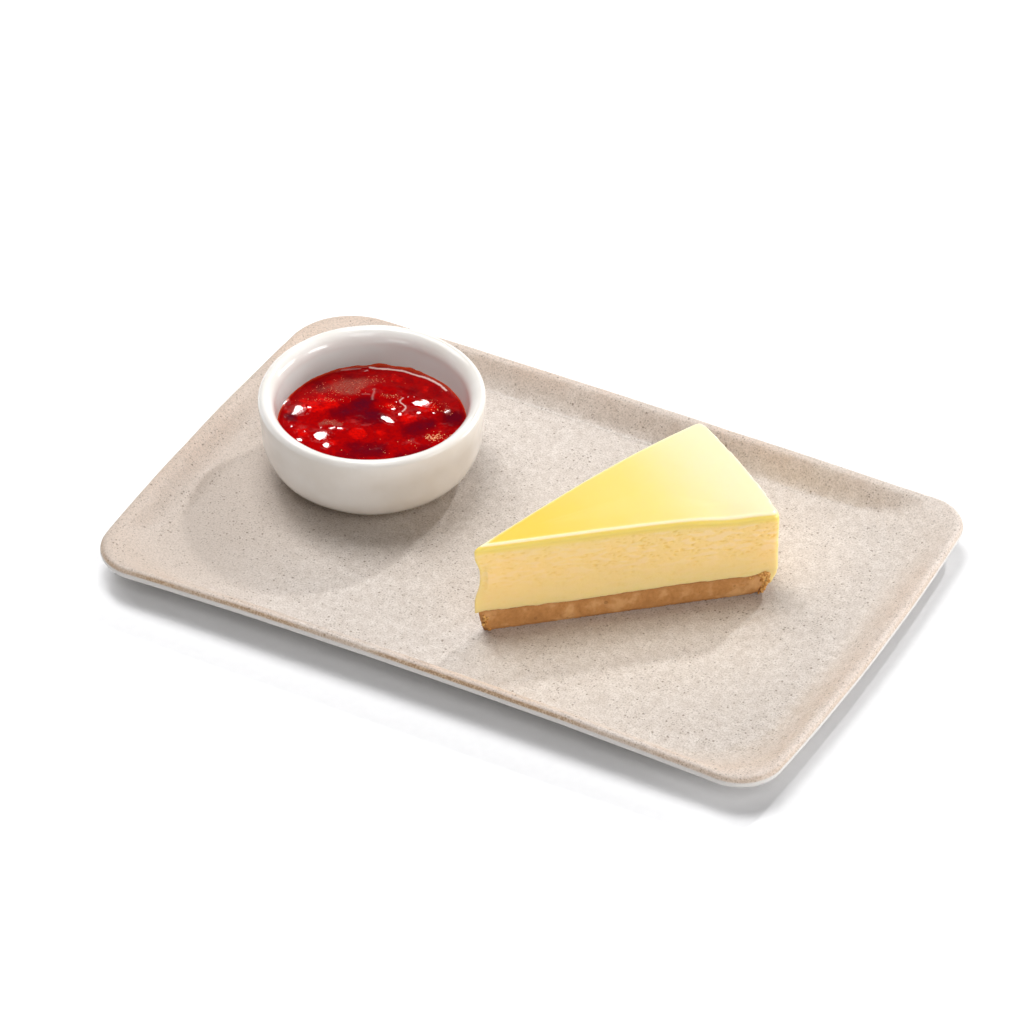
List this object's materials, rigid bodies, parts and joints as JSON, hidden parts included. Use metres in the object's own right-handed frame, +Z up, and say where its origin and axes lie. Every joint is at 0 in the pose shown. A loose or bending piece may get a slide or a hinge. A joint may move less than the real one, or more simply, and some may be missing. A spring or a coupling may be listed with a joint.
{
  "type": "new york cheesecake slice on plate",
  "caption": "Wedge of baked cheesecake with a biscuit base and a smooth yellow top, on an oblong stoneware platter beside a small round bowl of strawberry sauce.",
  "frame": {"origin": "middle of the platter's foot, on the table", "axes": "+X along the platter towards the end with the cake, +Y across it towards its back, +Z up"},
  "size_m": [0.315, 0.2009, 0.0518],
  "materials": {
    "stoneware": "matt speckled sand-beige glaze, warmer and thinner along the rim",
    "white_glaze": "glossy white glaze with a few fine dark specks",
    "strawberry_sauce": "wet, glossy deep red with brighter lumps of fruit",
    "biscuit": "dry pressed crumb, grainy",
    "cheese": "matt, dense and smooth with fine pores along the cut",
    "yellow_top": "smooth with a soft sheen"
  },
  "bodies": {
    "root": {"platter": "stoneware", "sauce_bowl": "white_glaze", "strawberry_sauce": "strawberry_sauce", "biscuit_base": "biscuit", "cheese_filling": "cheese", "yellow_top": "yellow_top"}
  },
  "joints": []
}
